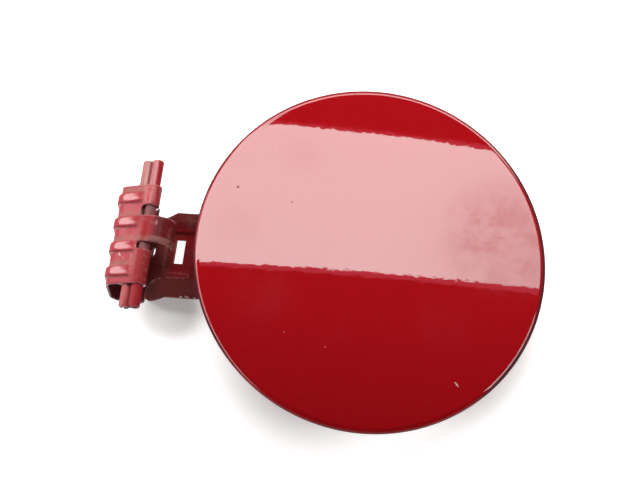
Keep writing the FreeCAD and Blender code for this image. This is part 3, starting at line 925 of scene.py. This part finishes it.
@dataclass(frozen=True)
class TableTop(Finish):
    """White matt table that keeps the object's shadow, with painted shadow by the arm's foot and under the lid and
    a painted light patch under the arm's slot, and looks white to the eye.
    """

    name: ClassVar[str] = "table_top"
    colour: Colour = (0.80, 0.795, 0.785)
    lift: float = 0.80
    shade_core: float = 0.4
    # Painted shadows: soft darker patches by the arm's foot and under the lid.
    shades: tuple[Touch, ...] = (
        Touch((0.0130, -0.0225, 0.0), 0.0210, 0.56),
        Touch((0.0790, -0.0370, 0.0), 0.0490, 0.60),
        Touch((0.1460, -0.0270, 0.0), 0.0440, 0.34),
    )
    # Painted light: a brighter patch under the arm's slot.
    bright_core: float = 0.7
    bright: Touch = Touch((0.0090, 0.0050, -0.0420), 0.0160, 0.9)

    def shader(self, recipe: Recipe) -> Socket:
        """Matt white, lifted for the eye outside the painted shadows, more in the painted light patch, and clear
        from below.
        """
        place = recipe.place()
        path = recipe.node("ShaderNodeLightPath")
        seen = Signal(recipe, path.outputs["Is Camera Ray"])
        for name in ("Is Glossy Ray", "Is Transmission Ray"):
            seen = seen.most(Signal(recipe, path.outputs[name]))
        flat = recipe.stretched(place, FLAT)
        lift = seen * self.lift
        # Painted shadow where the patches lie, and painted light under the slot.
        for shade in self.shades:
            lift = lift.least(self.lift - recipe.patch(flat, shade, self.shade_core))
        lift = lift.most(seen * recipe.patch(place, self.bright, self.bright_core))
        matt = recipe.node("ShaderNodeBsdfDiffuse", {}, {"Color": (*self.colour, 1.0)}).outputs["BSDF"]
        glow = recipe.node("ShaderNodeEmission", {}, {"Strength": 1.0}).outputs["Emission"]
        both = recipe.node("ShaderNodeAddShader", {}, {0: matt, 1: glow}).outputs["Shader"]
        lifted = recipe.mixed(lift, matt, both)
        behind = recipe.node("ShaderNodeNewGeometry").outputs["Backfacing"]
        clear = recipe.node("ShaderNodeBsdfTransparent").outputs["BSDF"]
        return recipe.mixed(behind, lifted, clear)


@dataclass(frozen=True)
class LampFace(Finish):
    """Bright face of a lamp, which may be dimmer towards one place."""

    name: ClassVar[str] = "lamp_face"
    strength: float
    tint: Colour
    dim: Touch | None

    def shader(self, recipe: Recipe) -> Socket:
        """Plain glow, darker towards the dim place."""
        colour = (*self.tint, 1.0)
        if self.dim is not None:
            colour = recipe.blend(recipe.patch(recipe.place(), self.dim, 0.0), self.tint, BLACK)
        glow = recipe.node("ShaderNodeEmission", {}, {"Color": colour, "Strength": self.strength})
        return glow.outputs["Emission"]


def finished(name: str, shape: bmesh.types.BMesh, material: bpy.types.Material) -> bpy.types.Object:
    """Turn a bmesh into an object at the origin.

    Args:
        name: Name of the piece.
        shape: The bmesh, which is freed.
        material: Its finish.

    Returns:
        The new object.
    """
    mesh = bpy.data.meshes.new(name)
    shape.to_mesh(mesh)
    shape.free()
    mesh.materials.append(material)
    made = bpy.data.objects.new(name, mesh)
    bpy.context.scene.collection.objects.link(made)
    return made


def smoothed(made: bpy.types.Object, angle: float) -> bpy.types.Object:
    """Shade an object smooth, apart from its sharp edges, with flat faces kept flat.

    Args:
        made: The object.
        angle: Edges that turn by more than this, in radians, stay sharp.

    Returns:
        The same object.
    """
    made.data.shade_smooth()
    made.data.set_sharp_from_angle(angle=angle)
    flats = made.modifiers.new("flat_faces", "WEIGHTED_NORMAL")
    flats.keep_sharp = True
    flats.weight = FLAT_FACE_WEIGHT
    return made


@dataclass(frozen=True)
class CadPiece:
    """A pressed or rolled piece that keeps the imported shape: a merged, smoothly shaded copy of its node."""

    node: str
    name: str
    body: str
    slot: Slot
    sharp: float = math.radians(32)
    merge: float = 2e-6

    def build(self, material: bpy.types.Material) -> bpy.types.Object:
        """Copy the node and dress the copy.

        Args:
            material: The finish.

        Returns:
            The new piece.
        """
        shape = bmesh.new()
        shape.from_mesh(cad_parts[self.node].data)
        bmesh.ops.remove_doubles(shape, verts=shape.verts, dist=self.merge)
        made = smoothed(finished(self.name, shape, material), self.sharp)
        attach(made, self.body)
        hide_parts(self.node)
        return made


@dataclass(frozen=True)
class OuterPanel:
    """Crowned outer skin of the lid, its edge folded back into a hem."""

    node: str = "lid_outer_panel"
    name: str = "lid_skin"
    crown_radius: float = 1.5
    skin: float = 0.001
    hem_gap: float = 0.0013
    hem_width: float = 0.006
    roll_radius: float = 0.0045
    roll_angle: float = math.radians(25)
    crown_steps: int = 40
    roll_steps: int = 10
    under_steps: int = 10
    fold_steps: int = 12
    turn_steps: int = 288
    merge: float = 1e-6
    sharp: float = math.radians(50)

    def build(self, material: bpy.types.Material) -> bpy.types.Object:
        """Turn the skin's section about the lid's axis.

        Args:
            material: The finish.

        Returns:
            The new piece.
        """
        low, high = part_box(self.node)
        shape = bmesh.new()
        self.section(shape, (high.x - low.x) / 2, high.z)
        bmesh.ops.spin(
            shape, geom=shape.verts[:] + shape.edges[:], cent=(0, 0, 0), axis=(0, 0, 1), angle=2 * math.pi,
            steps=self.turn_steps, use_merge=True, use_duplicate=False,
        )
        bmesh.ops.remove_doubles(shape, verts=shape.verts, dist=self.merge)
        bmesh.ops.recalc_face_normals(shape, faces=shape.faces)
        middle = (low + high) / 2
        bmesh.ops.translate(shape, verts=shape.verts, vec=(middle.x, middle.y, 0))
        made = smoothed(finished(self.name, shape, material), self.sharp)
        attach(made, DOOR)
        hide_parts(self.node)
        return made

    def section(self, shape: bmesh.types.BMesh, radius: float, top: float) -> None:
        """Draw the section: crown, rolled rim, fold, hem leaf and back along the inside.

        Args:
            shape: The bmesh that takes it.
            radius: Radius of the lid.
            top: Height of the crown.
        """
        edge = self.hem_gap / 2 + self.skin
        slope = math.asin((radius - edge) / (self.crown_radius - edge))
        crown = Vector((0, 0, top - self.crown_radius))
        out = Vector((math.cos(slope), 0, -math.sin(slope)))
        up = Vector((math.sin(slope), 0, math.cos(slope)))
        inner = crown + up * (self.crown_radius - edge)
        turn = self.roll_angle
        tight = (2 * edge - self.roll_radius * (1 - math.cos(turn))) / (1 + math.cos(turn))
        outer = inner + (out - up) * (edge - tight)
        roll = outer - (out * math.sin(turn) + up * math.cos(turn)) * (self.roll_radius - tight)
        start = roll + up * self.roll_radius - crown
        tip = bmesh.ops.create_vert(shape, co=(0, 0, top))["vert"][0]
        tip = self.turned(shape, tip, crown, math.atan2(start.x, start.z), self.crown_steps)
        tip = self.turned(shape, tip, roll, turn, self.roll_steps)
        tip = self.turned(shape, tip, outer, math.pi - turn, self.fold_steps)
        tip = self.drawn(shape, tip, out * (tight - edge - self.hem_width))
        tip = self.drawn(shape, tip, up * self.skin)
        tip = self.drawn(shape, tip, out * self.hem_width)
        tip = self.turned(shape, tip, inner, -math.pi, self.fold_steps)
        self.turned(shape, tip, crown, -slope, self.under_steps)

    @staticmethod
    def turned(
        shape: bmesh.types.BMesh, tip: bmesh.types.BMVert, centre: Vector, angle: float, steps: int
    ) -> bmesh.types.BMVert:
        """Run the line on along an arc.

        Args:
            shape: The bmesh.
            tip: The line's last vertex.
            centre: Centre of the arc.
            angle: How far it turns, from +Z towards +X.
            steps: Pieces of the arc.

        Returns:
            The new last vertex.
        """
        made = bmesh.ops.spin(
            shape, geom=[tip], cent=centre, axis=(0, 1, 0), angle=angle, steps=steps, use_merge=False,
            use_duplicate=False,
        )
        return next(item for item in made["geom_last"] if isinstance(item, bmesh.types.BMVert))

    @staticmethod
    def drawn(shape: bmesh.types.BMesh, tip: bmesh.types.BMVert, move: Vector) -> bmesh.types.BMVert:
        """Run the line on straight.

        Args:
            shape: The bmesh.
            tip: The line's last vertex.
            move: How far it goes.

        Returns:
            The new last vertex.
        """
        made = bmesh.ops.extrude_vert_indiv(shape, verts=[tip])
        bmesh.ops.translate(shape, verts=made["verts"], vec=move)
        return made["verts"][0]


@dataclass(frozen=True)
class FillerDoor:
    """The whole door: lid, arm, pins and striker."""

    outer: OuterPanel = OuterPanel()
    lid_paint: LidPaint = LidPaint()
    arm_paint: ArmPaint = ArmPaint()
    back_paint: BackPaint = BackPaint()
    pin_paint: PinPaint = PinPaint()

    def build(self) -> list[bpy.types.Object]:
        """Build and dress every piece.

        Returns:
            The pieces.
        """
        back = self.back_paint.material()
        pin = self.pin_paint.material()
        return [
            self.outer.build(self.lid_paint.material()),
            CadPiece("lid_inner_panel", "lid_pan", DOOR, Slot.BACK).build(back),
            CadPiece("hinge_arm", "arm_stamping", DOOR, Slot.ARM).build(self.arm_paint.material()),
            CadPiece("pivot_pin", "pivot_roll_pin", PIVOT, Slot.PIN).build(pin),
            CadPiece("spring_pin", "spring_roll_pin", DOOR, Slot.PIN).build(pin),
            CadPiece("latch_striker", "striker_catch", DOOR, Slot.BACK).build(back),
        ]


@dataclass(frozen=True)
class Panel:
    """A flat lamp or card that the camera doesn't see."""

    name: str
    role: Role
    middle: Point
    facing: Point
    along: Point
    width: float
    depth: float
    strength: float = 0.0
    taper: float = 1.0
    tint: Colour = WHITE
    dim: Touch | None = None

    def build(self) -> bpy.types.Object:
        """Make the panel.

        Returns:
            The new object.
        """
        facing = Vector(self.facing).normalized()
        across = facing.cross(Vector(self.along)).normalized()
        turn = Matrix((across.cross(facing), across, facing)).transposed()
        shape = bmesh.new()
        bmesh.ops.create_grid(shape, x_segments=1, y_segments=1, size=0.5)
        far_end = [vertex for vertex in shape.verts if vertex.co.x > 0]
        bmesh.ops.scale(shape, verts=far_end, vec=(1, self.taper, 1))
        bmesh.ops.scale(shape, verts=shape.verts, vec=(self.width, self.depth, 1))
        bmesh.ops.rotate(shape, verts=shape.verts, matrix=turn)
        bmesh.ops.translate(shape, verts=shape.verts, vec=self.middle)
        made = finished(self.name, shape, LampFace(self.strength, self.tint, self.dim).material())
        made.visible_camera = False
        made.visible_diffuse = self.role is Role.LIGHT
        made.visible_glossy = self.role is not Role.CARD
        made.visible_shadow = self.role is Role.CARD
        return made


PANELS = (
    Panel(
        "soft_lamp", Role.LIGHT, middle=(0.139, 0.1865, 0.450), facing=UPRIGHT, along=LAMP_RUN,
        width=0.42, depth=0.166, strength=10.9, taper=0.93, dim=Touch((0.340, 0.120, 0.450), 0.200, 0.22),
    ),
    Panel(
        "lamp_end", Role.GLINT, middle=(-0.235, 0.2720, 0.451), facing=UPRIGHT, along=(-0.950, 0.313, 0),
        width=0.432, depth=0.25, strength=10.8, taper=2.4,
    ),
    Panel(
        "lamp_frame", Role.GLINT, middle=(0.139, 0.1865, 0.452), facing=UPRIGHT, along=LAMP_RUN,
        width=0.44, depth=0.174, strength=2.2, taper=0.96, tint=(1.0, 0.24, 0.34),
    ),
    Panel(
        "rib_lamp", Role.LIGHT, middle=(-0.49, 0.13, 0.075), facing=(0.96, -0.25, -0.13), along=UPRIGHT,
        width=0.24, depth=0.36, strength=8.5,
    ),
    Panel(
        "back_strip", Role.GLINT, middle=(0.096, 0.620, 0.480), facing=(0, -0.8, -0.6), along=(1, 0, 0),
        width=1.10, depth=0.22, strength=8.0,
    ),
    Panel(
        "corner_strip", Role.GLINT, middle=(0.745, -0.12, 0.48), facing=(-0.78, 0.11, -0.62),
        along=(0.34, 0.90, -0.28), width=0.30, depth=0.52, strength=8.0,
    ),
    Panel(
        "side_strip", Role.GLINT, middle=(-0.45, -0.19, 0.47), facing=(0.75, 0.26, -0.6), along=(0.33, -0.94, 0),
        width=0.75, depth=0.20, strength=6.0,
    ),
    Panel(
        "flag", Role.CARD, middle=(0.10, -0.172, 0.20), facing=UPRIGHT, along=(1, 0, 0), width=0.60, depth=0.42
    ),
)


@dataclass(frozen=True)
class Studio:
    """Table, soft lamps, surroundings and camera."""

    table_size: float = 6.0
    table_gap: float = 0.0002
    lie_rounds: int = 3
    panels: tuple[Panel, ...] = PANELS
    horizon: float = 0.55
    dark_side: float = 0.75
    ceiling: float = 0.01
    wall_top: Span = (0.72, 0.45)
    dark_from: Span = (0.55, 0.90)
    eye: Point = (0.0435, -0.1383, 0.4978)
    ahead: Point = (0.059, 0.282, -0.958)
    upward: Point = (-0.146, 0.951, 0.271)
    lens: float = 67.5
    sensor: float = 36.0
    near_clip: float = 0.01

    def build(self) -> None:
        """Set up everything around the object."""
        self.table()
        for panel in self.panels:
            panel.build()
        self.surroundings()
        self.camera()

    def lie(self) -> tuple[float, Vector]:
        """How the door lies on the table, on the arm's hook and the striker.

        Returns:
            The table's slope along X, and a point on it.
        """
        hook = [vertex.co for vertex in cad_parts["hinge_arm"].data.vertices]
        catch = [vertex.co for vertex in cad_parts["latch_striker"].data.vertices]
        slope = 0.0
        for _ in range(self.lie_rounds):
            rest = min(catch, key=lambda co: co.z - slope * co.x)
            slope = max((rest.z - co.z) / (rest.x - co.x) for co in hook)
        return slope, rest

    def table(self) -> None:
        """Lay the table under the door."""
        slope, rest = self.lie()
        shape = bmesh.new()
        bmesh.ops.create_grid(shape, x_segments=1, y_segments=1, size=self.table_size)
        turn = Matrix.Rotation(-math.atan(slope), 4, "Y")
        place = Matrix.Translation(Vector((rest.x, 0, rest.z - self.table_gap)))
        bmesh.ops.transform(shape, matrix=place @ turn, verts=shape.verts)
        finished("table", shape, TableTop().material())
        LOG.info("table slope %.2f degrees", math.degrees(math.atan(slope)))

    def surroundings(self) -> None:
        """Pale walls low down and a dim ceiling."""
        world = bpy.data.worlds.new("studio")
        bpy.context.scene.world = world
        recipe = Recipe(world)
        way = recipe.node("ShaderNodeTexCoord").outputs["Generated"]
        right, _, height = recipe.axes(way)
        level = height.rise(*self.wall_top) * (1 - right.rise(*self.dark_from) * self.dark_side)
        level = level.between(self.ceiling, self.horizon)
        glow = recipe.node("ShaderNodeBackground", {}, {"Color": (*WHITE, 1.0), "Strength": level})
        recipe.node("ShaderNodeOutputWorld", {}, {"Surface": glow.outputs["Background"]})

    def camera(self) -> None:
        """Set the camera at the photograph's viewing angle."""
        data = bpy.data.cameras.new("camera")
        data.lens = self.lens
        data.sensor_width = self.sensor
        data.clip_start = self.near_clip
        made = bpy.data.objects.new("camera", data)
        bpy.context.scene.collection.objects.link(made)
        ahead = Vector(self.ahead).normalized()
        right = ahead.cross(Vector(self.upward)).normalized()
        turn = Matrix((right, right.cross(ahead), -ahead)).transposed()
        made.matrix_world = Matrix.Translation(self.eye) @ turn.to_4x4()
        bpy.context.scene.camera = made


def main() -> None:
    """Build the door and the studio around it."""
    logging.basicConfig(level=logging.INFO)
    bpy.context.scene.view_settings.view_transform = "Standard"
    for piece in FillerDoor().build():
        LOG.info("%s: %d faces", piece.name, len(piece.data.polygons))
    Studio().build()


if __name__ == "__main__":
    main()
